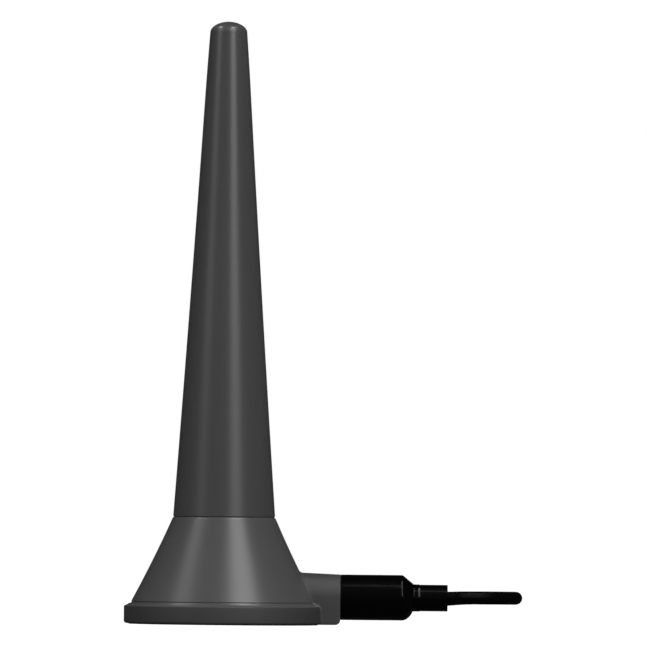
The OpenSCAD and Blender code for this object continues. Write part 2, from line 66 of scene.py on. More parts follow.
# Mast
OVERALL_H = 128.8
DOME_H = 2.2
DOME_POWER = 1.78
DOME_EDGE = 0.3
TIP_R = 3.95
TIP_DRAW = 0.11
TIP_DRAW_L = 14.6
MAST_FLARE = 0.085
MAST_WALL = 1.7
FOOT_CHAMFER = 0.2
HOLLOW_TOP_Z = 116.0
PIN_BORE_R = 1.78
PIN_BORE_TOP_Z = 121.0
SEAT_TOP_Z = 28.95
TAPER_TOP_Z = OVERALL_H - DOME_H

# Base
BASE_R = 21.25
RIM_H = 3.95
LEDGE_Z = 4.2
FOOT_R = 20.05
BASE_H = 22.95
SEAM_R = 10.9
CONE_FLARE = 0.109
HOUSING_WALL = 2.0
RIM_BOTTOM_Z = 0.15
RIM_BOTTOM_ROUND = 0.55
RIM_TOP_ROUND = 0.25
LEDGE_BEAD_R = 20.13
LEDGE_BEAD_ROUND = 0.24
GROOVE_Z = 4.78
GROOVE_H = 0.24
GROOVE_DEPTH = 0.14
GROOVE_LEAN = 0.04
SEAM_ROUND = 0.25
PAD_RECESS_R = 20.3
PAD_T = 0.6
POT_RECESS_R = 18.65
POT_TOP_Z = 4.2
DECK_Z = 13.3
DECK_TOP_Z = 17.2
SOCKET_R = 7.07
BUSH_HOLE_R = 4.52

# Spout and boot
SPOUT_X = 25.0
SPOUT_DRAFT = np.tan(np.radians(2.4))
SPOUT_CORNER = 1.1
SPOUT_FILLET = 0.5
SPOUT_EDGE = 0.25
SPOUT_END_ROUND = 0.12
SPOUT_SUNK = 1.0
CABLE_Z = 6.05
BOOT_R = 4.85
BOOT_L = 13.3
BOOT_FRONT_ROUND = 0.15
SHOULDER_L = 2.35
SHOULDER_TOP_ROUND = 0.8
SHOULDER_ROOT_ROUND = 0.4
SHOULDER_ROUND_X = -0.15
SHOULDER_ROUND_L = 2.3
SHOULDER_ROUND_POWER = 1.6
# The sine of the angle at which the shoulder starts to change from slope to round, and over how much of it
SHOULDER_CHANGE = (0.35, 1.1)
NECK_R = 2.83
NECK_L = 7.25
NECK_STEP = 0.07
NECK_STEP_L = 1.15
NECK_STEP_SLOPE = 0.15
NECK_END_EDGE = 0.08
LEVEL_RUN = 0.3
NOZZLE_R = 3.5
NOZZLE_L = 12.2
NOZZLE_BACK = 8.5
BEAD_X = 9.5
BEAD_W = 0.8
BEAD_RISE = 0.35
CABLE_R = 1.4
FIT_GAP = 0.05

# Free cable and its hank
RUN_POINTS = np.array([
    (47.9, 0, 6.05), (49.6, 0, 6.1), (51.3, 0, 6.15), (56.9, 1.5, 6.18), (61, 5.6, 6.15), (62.6, 11.2, 6.1),
    (61, 16.8, 6.05), (56.9, 20.9, 6), (51.3, 22.4, 5.9), (44, 22.5, 5.2), (36, 22.6, 4.1),
    (28, 22.9, 2.9), (20, 23.3, 2), (12, 23.8, 1.5), (7, 24.3, 1.4)])
TAIL_POINTS = np.array([
    (-10.6, 98, 9.06), (-10.6, 102, 9.08), (-10.3, 107, 9.12), (-9.2, 112, 9.08), (-6.8, 116.6, 7.3),
    (-3, 120, 5.4), (1.8, 121.8, 4.3), (7, 122, 4), (12, 122, 4), (17.5, 122, 4)])
LINE_STEPS = 5
HANK_X = 2.0
HANK_NEAR_Y = 45.5
HANK_FAR_Y = 95.5
HANK_IN_R = 8.4
HANK_OUT_R = 22.4
HANK_TOP_R = 19.6
HANK_H = 7.65
ROW_STEP = 2.425
# Radii of the turns in each row, from the roof up, in the order they are wound
HANK_ROWS = [(21, 18.2, 15.4, 12.6, 9.8), (11.2, 14, 16.8, 19.6), (18.2, 15.4, 12.6)]
# Shares of a turn at which its folds and runs meet
HANK_JOINTS = (0.15, 0.35, 0.65, 0.85)
# Start and length, in shares of a turn, of the step to a new row and of the step to the next turn
ROW_CHANGE = (0.6, 0.22)
TURN_CHANGE = (0.82, 0.18)
LAST_TURN_STOP = 2
CLIMB_PAST_TIE = 5
CLIMB_PAST_FOLD = 1
SQUEEZE_L = 9
TIE_Y = 70.5
TIE_W = 2.5
TIE_T = 0.6
TIE_CORNER = 0.35
TIE_EDGE = 0.12
TIE_HEAD = (3.0, 4.4, 3.6)
STUB_RISE = 0.7
STUB_HALF_H = 1.2

# Connector
CONNECTOR_X = 18.0
CONNECTOR_Y = 122.0
CONNECTOR_Z = 4.0
SLEEVE_L = 11.0
SLEEVE_T = 0.48
SLEEVE_ON_CABLE_L = 3.0
SLEEVE_SLOPE = (1.8, 1.4)
SLEEVE_RIPPLE = 0.02
SLEEVE_EDGE = 0.1
SLEEVE_GAP = 0.02
FERRULE_R = 2.4
COLLAR_L = 7.0
COLLAR_CHAMFER = 0.5
FLATS_R = 4.0
THREAD_R = 3.95
THREAD_L = 8.0
THREAD_PITCH = 0.75
THREAD_DEPTH = 0.42
THREAD_POWER = 0.8
THREAD_START_L = 0.5
THREAD_CHAMFER = 0.4
SHELL_BORE_R = 2.9
REAR_WALL = 3.0
REAR_HOLE_R = 0.9

# Studio, in metres. A lamp is its name, its bearing to the right of the camera's side and its height above
# the roof as angles, its width and height, how its brightness compares with white, and whether it shows in
# gloss. FILL is the brightness of the world on the camera's side. Of the floor's look, FLOOR_GLOW_SHARE is
# its own white. CLOTH_SHADES are the brightness of the cloth behind the object and on the camera's side.
LAMP_DISTANCE = 1.3
LAMPS = [
    ("right_low", 28, 22, 0.57, 0.66, 6.5, True),
    ("right_high", 35, 52, 0.62, 0.7, 7.0, True),
    ("right_top", 70, 72, 0.5, 0.12, 30, True),
    ("left_low", -57, 23, 0.5, 0.62, 3.3, True),
    ("left_high", -69, 47, 0.4, 0.7, 2.7, True),
    ("left_top", -112, 62, 0.35, 0.14, 24, True),
    ("rear_right", 145, 38, 0.5, 0.6, 5, False),
    ("rear_left", -145, 38, 0.5, 0.6, 5, False),
]
FILL = 0.88
FLOOR_R = 2.0
FLOOR_GLOW = 1.2
FLOOR_GLOW_SHARE = 0.8
CLOTH_R = 1.6
CLOTH_H = 2.2
CLOTH_FOOT = 0.0001
CLOTH_SHADES = (0.01, 0.1)


def smoothstep(t):
    """Rises from 0 to 1 as 3t² - 2t³, and is level on both sides."""
    t = np.clip(t, 0, 1)
    return t * t * (3 - 2 * t)


def arc(centre, radius, start, end, count=7):
    """Points on a circle's arc: centre + radius (cos a, sin a), with a from start to end in degrees."""
    angle = np.radians(np.linspace(start, end, count))
    return np.column_stack([centre[0] + radius * np.cos(angle), centre[1] + radius * np.sin(angle)])


def smooth_line(points, steps):
    """Points on the Catmull-Rom cubic through a list: each span blends its two ends and their neighbours."""
    padded = np.vstack([points[:1], points, points[-1:]])
    a, b, c, d = padded[:-3], padded[1:-2], padded[2:-1], padded[3:]
    t = (np.arange(steps) / steps)[None, :, None]
    a, b, c, d = (p[:, None, :] for p in (a, b, c, d))
    line = (2 * b + (c - a) * t + (2 * a - 5 * b + 4 * c - d) * t**2 + (3 * b - a - 3 * c + d) * t**3) / 2
    return np.vstack([line.reshape(-1, points.shape[1]), points[-1:]])


def turned(profile, sides=SIDES):
    """Rings of a profile of (radius, height) rows turned round the mast: (r cos a, r sin a, z)."""
    angle = np.linspace(0, 2 * np.pi, sides, endpoint=False)
    radius, height = profile[:, :1], profile[:, 1:]
    return np.stack([radius * np.cos(angle), radius * np.sin(angle), height + 0 * angle], axis=-1)


def turned_on_x(profile, start, sides):
    """Rings of a profile of (length, radius) rows turned round a line that leaves start along +X."""
    angle = np.linspace(0, 2 * np.pi, sides, endpoint=False)
    along, radius = profile[:, :1], profile[:, 1:]
    return np.stack([start[0] + along + 0 * angle, start[1] + radius * np.cos(angle),
                     start[2] + radius * np.sin(angle)], axis=-1)


def ring_quads(stations, columns, loops):
    """Corner numbers of the quads between neighbouring rings, the last ring meeting the first in a loop."""
    station = np.arange(stations if loops else stations - 1)[:, None]
    column = np.arange(columns)
    beyond, beside = (station + 1) % stations, (column + 1) % columns
    corners = [station * columns + column, station * columns + beside,
               beyond * columns + beside, beyond * columns + column]
    return np.stack(corners, axis=-1).reshape(-1, 4)


def make_piece(name, shells, slot, replaced, crease=32):
    """Joins shells of rings into one mesh, welds their poles, turns every face outwards, and puts the piece
    on the model's body in place of its CAD nodes. A shell is its rings and whether they close in a loop."""
    corners, faces, used = [], [], 0
    for rings, loops in shells:
        corners.append(rings.reshape(-1, 3) * MM)
        faces.append(used + ring_quads(*rings.shape[:2], loops))
        used += len(corners[-1])
    mesh = bpy.data.meshes.new(name)
    mesh.from_pydata(np.concatenate(corners), [], np.concatenate(faces))
    welded = bmesh.new()
    welded.from_mesh(mesh)
    bmesh.ops.remove_doubles(welded, verts=welded.verts, dist=1e-8)
    bmesh.ops.recalc_face_normals(welded, faces=welded.faces)
    welded.to_mesh(mesh)
    welded.free()
    mesh.shade_smooth()
    mesh.set_sharp_from_angle(angle=np.radians(crease))
    piece = bpy.data.objects.new(name, mesh)
    bpy.context.scene.collection.objects.link(piece)
    mesh.materials.append(finishes[slot])
    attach(piece, BODY)
    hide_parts(*replaced)
    return piece


# Camera

def place_camera():
    """A long lens far off and low, turned by the small lean of the photograph."""
    data = bpy.data.cameras.new("photo_camera")
    data.lens, data.sensor_width = LENS, SENSOR_W
    data.clip_start, data.clip_end = 0.1, 30
    camera = bpy.data.objects.new("photo_camera", data)
    eye, target = Vector(EYE) * MM, Vector(TARGET) * MM
    lean = Quaternion((0, 0, 1), np.radians(LEAN))
    camera.rotation_mode = "QUATERNION"
    camera.location = eye
    camera.rotation_quaternion = (target - eye).to_track_quat("-Z", "Y") @ lean
    bpy.context.scene.collection.objects.link(camera)
    bpy.context.scene.camera = camera


# Materials

def linear(hex_colour):
    """The linear RGBA of an sRGB hex value."""
    value = np.array([int(hex_colour[i:i + 2], 16) for i in (1, 3, 5)]) / 255
    value = np.where(value <= 0.04045, value / 12.92, ((value + 0.055) / 1.055) ** 2.4)
    return (*value.tolist(), 1.0)


def add_node(tree, kind, inputs, **settings):
    """Adds a node, gives it its settings, and sets each input or links it to another node's output."""
    node = tree.nodes.new(kind)
    for key, value in settings.items():
        setattr(node, key, value)
    for key, value in inputs.items():
        if isinstance(value, bpy.types.NodeSocket):
            tree.links.new(value, node.inputs[key])
        else:
            node.inputs[key].default_value = value
    return node


def start_material(name):
    """An empty material, its node tree and the place of each point on the piece."""
    material = bpy.data.materials.new(name)
    material.use_nodes = True
    tree = material.node_tree
    tree.nodes.clear()
    return material, tree, add_node(tree, "ShaderNodeTexCoord", {}).outputs["Object"]


def end_material(material, tree, shader):
    add_node(tree, "ShaderNodeOutputMaterial", {"Surface": shader.outputs[0]})
    return material


def rim_and_arm(tree, place):
    """A mask, 0 or 1, of the base's rim and its cable arm. The rim is what lies below RIM_H. The arm is what
    lies outside the rim's radius below the groove, and above it outside the cone's straight line
    r = SEAM_R + (BASE_H - z) times its slope."""
    flat = add_node(tree, "ShaderNodeVectorMath", {0: place, 1: (1, 1, 0)}, operation="MULTIPLY")
    span = add_node(tree, "ShaderNodeVectorMath", {0: flat.outputs[0]}, operation="LENGTH")
    height = add_node(tree, "ShaderNodeSeparateXYZ", {"Vector": place}).outputs["Z"]
    slope = (FOOT_R - SEAM_R) / (BASE_H - LEDGE_Z)
    cone = add_node(tree, "ShaderNodeMath",
                    {0: height, 1: -slope, 2: (SEAM_R + slope * BASE_H + MASK_GAP) * MM},
                    operation="MULTIPLY_ADD")
    under_groove = add_node(tree, "ShaderNodeMath", {0: height, 1: GROOVE_Z * MM}, operation="LESS_THAN")
    edge = add_node(tree, "ShaderNodeMath", {0: under_groove.outputs[0], 1: (BASE_R + MASK_GAP) * MM},
                    operation="MULTIPLY")
    limit = add_node(tree, "ShaderNodeMath", {0: cone.outputs[0], 1: edge.outputs[0]}, operation="MAXIMUM")
    arm = add_node(tree, "ShaderNodeMath", {0: span.outputs["Value"], 1: limit.outputs[0]},
                   operation="GREATER_THAN")
    rim = add_node(tree, "ShaderNodeMath", {0: height, 1: RIM_H * MM}, operation="LESS_THAN")
    either = add_node(tree, "ShaderNodeMath", {0: rim.outputs[0], 1: arm.outputs[0]}, operation="MAXIMUM")
    return either.outputs[0]


def moulded(name, darker, lighter, roughness, specular, grain_mm, grain_depth_mm, coarse_and_shaded=None):
    """A plastic or rubber from a mould: faint patches of shade from the flow of the melt, and the fine grain
    of the mould's blasted face, which also breaks up the gloss. coarse, if given, makes the mask of a place
    whose mould was left coarser, which is duller, and darker by painted shade."""
    material, tree, place = start_material(name)
    flow = add_node(tree, "ShaderNodeTexNoise",
                    {"Vector": place, "Scale": 1 / (FLOW_PATCH * MM), "Detail": 3.0})
    grain = add_node(tree, "ShaderNodeTexNoise",
                     {"Vector": place, "Scale": 1 / (grain_mm * MM), "Detail": 2.0})
    shade = add_node(tree, "ShaderNodeMix",
                     {0: flow.outputs[0], 6: linear(darker), 7: linear(lighter)}, data_type="RGBA")
    gloss = add_node(tree, "ShaderNodeMapRange",
                     {"Value": grain.outputs[0], "To Min": roughness[0], "To Max": roughness[1]})
    colour, dullness = shade.outputs[2], gloss.outputs[0]
    if coarse_and_shaded is not None:
        mask = coarse_and_shaded(tree, place)
        # Painted shade: under the mask the colour is darkened to a share of the darker tone
        dark = (*(COARSE_PAINTED_SHADE * value for value in linear(darker)[:3]), 1.0)
        colour = add_node(tree, "ShaderNodeMix", {0: mask, 6: colour, 7: dark}, data_type="RGBA").outputs[2]
        dullness = add_node(tree, "ShaderNodeMath", {0: mask, 1: COARSE_ROUGHNESS, 2: dullness},
                            operation="MULTIPLY_ADD").outputs[0]
    relief = add_node(tree, "ShaderNodeBump",
                      {"Height": grain.outputs[0], "Strength": 1.0, "Distance": grain_depth_mm * MM})
    shader = add_node(tree, "ShaderNodeBsdfPrincipled", {
        "Base Color": colour, "Roughness": dullness, "IOR": 1.5,
        "Specular IOR Level": specular, "Normal": relief.outputs[0]})
    return end_material(material, tree, shader)


def metal(name, darker, lighter, roughness, mark_mm, squeeze=(1, 1, 1)):
    """A machined, drawn or plated metal: fine tool marks, stretched across the way the tool went, that vary
    the shade and the gloss a little."""
    material, tree, place = start_material(name)
    across = add_node(tree, "ShaderNodeMapping", {"Vector": place, "Scale": squeeze})
    marks = add_node(tree, "ShaderNodeTexNoise",
                     {"Vector": across.outputs[0], "Scale": 1 / (mark_mm * MM), "Detail": 3.0})
    shade = add_node(tree, "ShaderNodeMix",
                     {0: marks.outputs[0], 6: linear(darker), 7: linear(lighter)}, data_type="RGBA")
    gloss = add_node(tree, "ShaderNodeMapRange",
                     {"Value": marks.outputs[0], "To Min": roughness[0], "To Max": roughness[1]})
    relief = add_node(tree, "ShaderNodeBump",
                      {"Height": marks.outputs[0], "Strength": 0.5, "Distance": 0.004 * MM})
    shader = add_node(tree, "ShaderNodeBsdfPrincipled", {
        "Base Color": shade.outputs[2], "Metallic": 1.0, "Roughness": gloss.outputs[0],
        "Normal": relief.outputs[0]})
    return end_material(material, tree, shader)


def solder_mask():
    """Green mask over woven glass: its threads, 0.5 mm apart, show as faint crossed ridges. A wave of scale 1
    repeats every 0.314."""
    material, tree, place = start_material("green_solder_mask_on_glass_laminate")
    thread_mm, wave_length = 0.5, 0.314
    threads = [add_node(tree, "ShaderNodeTexWave",
                        {"Vector": place, "Scale": wave_length / (thread_mm * MM)}, bands_direction=way)
               for way in ("X", "Y")]
    weave = add_node(tree, "ShaderNodeMath",
                     {0: threads[0].outputs["Fac"], 1: threads[1].outputs["Fac"]}, operation="MULTIPLY")
    shade = add_node(tree, "ShaderNodeMix",
                     {0: weave.outputs[0], 6: linear("#14492a"), 7: linear("#1d5a35")}, data_type="RGBA")
    relief = add_node(tree, "ShaderNodeBump",
                      {"Height": weave.outputs[0], "Strength": 0.4, "Distance": 0.01 * MM})
    shader = add_node(tree, "ShaderNodeBsdfPrincipled", {
        "Base Color": shade.outputs[2], "Roughness": 0.3, "Normal": relief.outputs[0]})
    return end_material(material, tree, shader)


def make_finishes():
    """One material for each of the record's slots."""
    return {
        # ABS from a finely blasted mould: a satin charcoal with broad, soft highlights
        "mast_plastic": moulded("satin_abs_mast", "#313031", "#343334", (0.26, 0.34), 0.32, 0.5, 0.004),
        # The base's rim and cable arm are duller, and painted darker as shade
        "base_plastic": moulded("satin_abs_base", "#363536", "#393839", (0.26, 0.34), 0.32, 0.5, 0.004,
                                 coarse_and_shaded=rim_and_arm),
        # Glass-filled nylon: dull black
        "black_plastic": moulded("filled_nylon", "#141414", "#1b1b1b", (0.5, 0.6), 0.4, 0.4, 0.01),
        # Acetal: smooth milky white
        "white_plastic": moulded("white_acetal", "#dcdcd4", "#e6e6df", (0.3, 0.4), 0.5, 0.8, 0.003),
        # Pressed rubber: matt, with the press plate's grain
        "black_rubber": moulded("pressed_rubber", "#101010", "#171717", (0.7, 0.85), 0.3, 0.5, 0.02),
        # Soft PVC from a polished mould, so black that only its edges catch light
        "boot_rubber": moulded("soft_pvc_boot", "#010101", "#030303", (0.14, 0.18), 0.1, 0.6, 0.001),
        # Extruded PVC jacket: smooth black
        "cable_jacket": moulded("extruded_pvc", "#020202", "#040404", (0.3, 0.38), 0.02, 0.8, 0.002),
        # Nylon 66: slightly shiny black
        "tie_nylon": moulded("nylon_66", "#0d0d0d", "#131313", (0.3, 0.4), 0.4, 0.6, 0.006),
        # Free-cutting brass off the lathe: rings of tool marks
        "brass_turned": metal("turned_brass", "#c09c50", "#d4b36a", (0.2, 0.34), 0.4, (1, 1, 6)),
        # Enamelled copper: drawn smooth
        "copper_wire": metal("drawn_copper", "#b0693f", "#c47d50", (0.2, 0.32), 0.5),
        # Bright zinc on pressed steel: silver with a faint cloudy bloom
        "plated_steel": metal("zinc_plated_steel", "#a9acb1", "#c2c4c8", (0.3, 0.45), 1.2),
        # Nickel on turned brass: warm silver, with the lathe's rings under it
        "nickel_plate": metal("nickel_on_brass", "#b5b0a6", "#cdc8bd", (0.16, 0.28), 0.5, (6, 1, 1)),
        # Gold flash on the centre contact
        "gold_plate": metal("gold_flash", "#cda349", "#e0bb62", (0.15, 0.25), 0.4, (6, 1, 1)),
        # Sintered magnet: ground dark grey, with pores
        "magnet_grey": moulded("sintered_magnet", "#3a3a3d", "#4e4e52", (0.45, 0.65), 0.5, 0.25, 0.02),
        "board_laminate": solder_mask(),
        # Fired ceramic chip: tan and slightly glossy
        "ceramic_chip": moulded("fired_ceramic", "#927552", "#a2835c", (0.25, 0.4), 0.5, 0.3, 0.004),
        # Pressed ferrite: nearly black, grainy
        "ferrite_dark": moulded("pressed_ferrite", "#202021", "#2c2c2d", (0.5, 0.7), 0.5, 0.3, 0.01),
    }


def dress_cad_nodes():
    """Gives every CAD node the finish of its slot."""
    for part in frame["record"]["subparts"]:
        mesh = frame["nodes"][part["node"]].data
        mesh.materials.clear()
        mesh.materials.append(finishes[part["material_slot"]])


# Cable

def hank_turn(radius, height, next_radius, next_height, count=72):
    """One turn of the hank, clockwise seen from above, from the middle of its near fold: a quarter circle,
    a straight run, a half circle, a run and a quarter circle, which share the turn as 3:4:6:4:3. Within a
    row it steps over to the next turn in about its last fifth, and to a new row in the fifth before that."""
    share = np.arange(count) / count
    start, length = TURN_CHANGE if height == next_height else ROW_CHANGE
    step = smoothstep((share - start) / length)
    radius = radius + (next_radius - radius) * step
    height = height + (next_height - height) * step
    angle = np.pi * np.interp(share, [0, *HANK_JOINTS, 1], [0, 0.5, 0.5, 1.5, 1.5, 2])
    middle_y = np.interp(share, HANK_JOINTS, [HANK_NEAR_Y, HANK_FAR_Y, HANK_FAR_Y, HANK_NEAR_Y])
    return np.column_stack([HANK_X - radius * np.sin(angle), middle_y - radius * np.cos(angle),
                            np.broadcast_to(height, share.shape)])


def cable_path():
    """The cable's centre line: out of the boot, round in a flat bend and back, through the hank's turns row
    on row, along the last run, which climbs on to the bundle, and over the far fold to the connector."""
    turns = [(radius, CABLE_R + row * ROW_STEP) for row, radii in enumerate(HANK_ROWS) for radius in radii]
    wound = [hank_turn(*turn, *following) for turn, following in zip(turns, turns[1:])]
    last = hank_turn(*turns[-1], *turns[-1])
    last = last[last[:, 1] < HANK_FAR_Y - LAST_TURN_STOP]
    last = last[:np.argmax(last[:, 1]) + 1]
    climb_from, climb_to = TIE_Y + CLIMB_PAST_TIE, HANK_FAR_Y + CLIMB_PAST_FOLD
    last[:, 2] += (TAIL_POINTS[0, 2] - last[0, 2]) * smoothstep(
        (last[:, 1] - climb_from) / (climb_to - climb_from)) * (last[:, 0] < HANK_X)
    coil = np.vstack([*wound, last])
    # The strap runs under the bundle, so it squeezes the lower turns up a little there
    squeeze = np.exp(-((coil[:, 1] - TIE_Y) / SQUEEZE_L) ** 2)
    coil[:, 2] += TIE_T * squeeze * np.clip(1 - (coil[:, 2] - CABLE_R) / (2 * ROW_STEP), 0, 1)
    run = smooth_line(np.vstack([RUN_POINTS, coil[:1]]), LINE_STEPS)[:-1]
    tail = smooth_line(np.vstack([coil[-1:], TAIL_POINTS]), LINE_STEPS)[1:]
    return np.vstack([run, coil, tail])


def tube_rings(path, radius, sides):
    """A closed tube: at each point of the path a circle square to it, path + r (cos a side + sin a up), where
    side is level, and a pole at each end."""
    along = np.gradient(path, axis=0)
    along /= np.linalg.norm(along, axis=1, keepdims=True)
    side = np.cross(along, [0, 0, 1])
    side /= np.linalg.norm(side, axis=1, keepdims=True)
    up = np.cross(side, along)
    angle = np.linspace(0, 2 * np.pi, sides, endpoint=False)[None, :, None]
    rings = path[:, None] + radius * (np.cos(angle) * side[:, None] + np.sin(angle) * up[:, None])
    poles = np.repeat(path[[0, -1], None], sides, axis=1)
    return np.concatenate([poles[:1], rings, poles[1:]])


def rounded_outline(corners, radius, count=5):
    """A closed outline whose corners are arcs of a radius that touch both sides."""
    corners = np.array(corners, float)
    back, ahead = np.roll(corners, 1, axis=0) - corners, np.roll(corners, -1, axis=0) - corners
    back /= np.linalg.norm(back, axis=1, keepdims=True)
    ahead /= np.linalg.norm(ahead, axis=1, keepdims=True)
    half = np.arccos(np.clip((back * ahead).sum(1), -1, 1))[:, None] / 2
    start, end = corners + back * radius / np.tan(half), corners + ahead * radius / np.tan(half)
    middle = corners + (back + ahead) / np.linalg.norm(back + ahead, axis=1, keepdims=True) * (
        radius / np.sin(half))
    share = np.linspace(0, 1, count)[None, :, None]
    chord = start[:, None] + (end - start)[:, None] * share - middle[:, None]
    return (middle[:, None] + radius * chord / np.linalg.norm(chord, axis=2, keepdims=True)).reshape(-1, 2)


def rounded_block(centre, half_sizes, power=0.25, count=24):
    """A block with rounded edges: the superellipsoid whose coordinates are powers of sines and cosines."""
    across = np.linspace(-np.pi / 2, np.pi / 2, count)[:, None]
    round_it = np.linspace(0, 2 * np.pi, 2 * count, endpoint=False)[None, :]

    def soft(value):
        return np.sign(value) * np.abs(value) ** power
    ball = np.stack([soft(np.cos(across)) * soft(np.cos(round_it)),
                     soft(np.cos(across)) * soft(np.sin(round_it)),
                     soft(np.sin(across)) + 0 * round_it], axis=-1)
    ball[[0, -1], :, :2] = 0
    return centre + ball * half_sizes


def tie_shells(side):
    """One cable tie: a strap round the bundle of one run, its locking head on the inside of the loop, and the
    cut end of the strap above the head. The strap is a rounded section carried round a rounded outline."""
    half_t = TIE_T / 2
    lean = np.arctan2(HANK_OUT_R - HANK_TOP_R, HANK_H - CABLE_R)
    outline = rounded_outline([
        (HANK_IN_R - half_t, half_t), (HANK_OUT_R + half_t, half_t),
        (HANK_OUT_R + half_t, CABLE_R + half_t * np.tan(lean / 2)),
        (HANK_TOP_R + half_t * np.tan((np.pi / 2 - lean) / 2), HANK_H + half_t),
        (HANK_IN_R - half_t, HANK_H + half_t)], TIE_CORNER)
    ahead = np.roll(outline, -1, axis=0) - np.roll(outline, 1, axis=0)
    ahead /= np.linalg.norm(ahead, axis=1, keepdims=True)
    outward = np.column_stack([ahead[:, 1], -ahead[:, 0]])
    section = rounded_outline([(-half_t, -TIE_W / 2), (half_t, -TIE_W / 2),
                               (half_t, TIE_W / 2), (-half_t, TIE_W / 2)], TIE_EDGE, 3)
    place = outline[:, None] + outward[:, None] * section[None, :, :1]
    strap = np.stack([HANK_X + side * place[..., 0], TIE_Y + section[None, :, 1] + 0 * place[..., 0],
                      place[..., 1]], axis=-1)
    head_x = HANK_IN_R - TIE_T - TIE_HEAD[0] / 2
    head = rounded_block((HANK_X + side * head_x, TIE_Y, HANK_H / 2), np.array(TIE_HEAD) / 2)
    stub = rounded_block((HANK_X + side * head_x, TIE_Y, HANK_H / 2 + TIE_HEAD[2] / 2 + STUB_RISE),
                         np.array([half_t, TIE_W / 2, STUB_HALF_H]))
    return [(strap, True), (head, False), (stub, False)]


def sleeve_rings():
    """Heat-shrink sleeve from the cable on to the ferrule: its step is a smooth slope, and its wall ripples
    where it gripped, by the product of two sines of its length."""
    start_r, end_r = CABLE_R + SLEEVE_T, FERRULE_R + SLEEVE_T
    slope_start, slope_l = SLEEVE_SLOPE
    along = np.linspace(0, SLEEVE_L, 60)
    radius = start_r + (end_r - start_r) * smoothstep((along - slope_start) / slope_l)
    radius += SLEEVE_RIPPLE * np.sin(along * 2.3) * np.sin(along * 0.9)
    radius[[0, -1]] -= SLEEVE_EDGE
    bore = [(SLEEVE_L, FERRULE_R + SLEEVE_GAP), (SLEEVE_ON_CABLE_L, FERRULE_R + SLEEVE_GAP),
            (SLEEVE_ON_CABLE_L, CABLE_R + SLEEVE_GAP), (0, CABLE_R + SLEEVE_GAP)]
    profile = np.vstack([np.column_stack([along, radius]), bore])
    return turned_on_x(profile, (CONNECTOR_X - SLEEVE_L, CONNECTOR_Y, CONNECTOR_Z), 64)


def connector_rings():
    """Connector body: a six-sided collar, whose radius is its half width over the cosine of the angle to the
    nearest flat, turned off at the corners, then a thread whose groove follows the cosine of x / pitch less
    the angle. The groove is at full depth where the thread starts at the collar."""
    sides = 120
    end = COLLAR_L + THREAD_L
    along = np.concatenate([[0], np.linspace(0.02, COLLAR_CHAMFER, 4), np.linspace(1, COLLAR_L - 1, 8),
                            np.linspace(COLLAR_L - COLLAR_CHAMFER, COLLAR_L, 4),
                            np.linspace(COLLAR_L + 0.01, end, 180)])[:, None]
    angle = np.linspace(0, 2 * np.pi, sides, endpoint=False)[None, :]
    sixth = np.pi / 3
    hexagon = FLATS_R / np.cos(angle % sixth - sixth / 2)
    corner_r = FLATS_R / np.cos(sixth / 2)
    from_end = np.minimum(along, COLLAR_L - along)
    collar = np.minimum(hexagon, FLATS_R + (corner_r - FLATS_R) * from_end / COLLAR_CHAMFER)
    groove = 0.5 - 0.5 * np.cos(2 * np.pi * along / THREAD_PITCH - angle)
    start = 1 - smoothstep((along - COLLAR_L) / THREAD_START_L)
    thread = THREAD_R - THREAD_DEPTH * np.maximum(groove ** THREAD_POWER, start)
    thread = np.minimum(thread, THREAD_R - THREAD_CHAMFER + (end - along))
    radius = np.where(along <= COLLAR_L, collar, thread)
    outside = np.concatenate([along + 0 * angle, radius], axis=0).reshape(2, -1, sides)
    bore = np.array([(end, SHELL_BORE_R), (REAR_WALL, SHELL_BORE_R), (REAR_WALL, REAR_HOLE_R),
                     (0, REAR_HOLE_R)])
    bore = np.broadcast_to(bore.T[:, :, None], (2, len(bore), sides))
    x, r = np.concatenate([outside, bore], axis=1)
    return np.stack([CONNECTOR_X + x, CONNECTOR_Y + r * np.cos(angle),
                     CONNECTOR_Z + r * np.sin(angle)], axis=-1)


def make_cable():
    """The free cable, its ties and its connector."""
    path = cable_path()
    cable = make_piece("free_cable", [(tube_rings(path, CABLE_R, 16), False)], "cable_jacket",
                       ["cable_run", "cable_hank", "cable_tail"], 60)
    ties = [make_piece(f"cable_tie_{word}", tie_shells(side), "tie_nylon", [f"hank_tie_{word}"])
            for word, side in (("left", -1), ("right", 1))]
    sleeve = make_piece("shrink_sleeve", [(sleeve_rings(), True)], "boot_rubber", ["connector_sleeve"])
    body = make_piece("threaded_connector_body", [(connector_rings(), True)], "nickel_plate",
                      ["connector_body"], 40)


# Mast

def mast_r(z):
    """Radius of the taper: a straight line plus a small square bow near the foot, less the draw-in that
    grows as the square of the distance into the top length."""
    u = (TAPER_TOP_Z - z) / (TAPER_TOP_Z - BASE_H)
    straight_r = TIP_R + TIP_DRAW
    draw = TIP_DRAW * np.maximum(0, 1 - (TAPER_TOP_Z - z) / TIP_DRAW_L) ** 2
    return straight_r + (SEAM_R - straight_r) * ((1 - MAST_FLARE) * u + MAST_FLARE * u * u) - draw


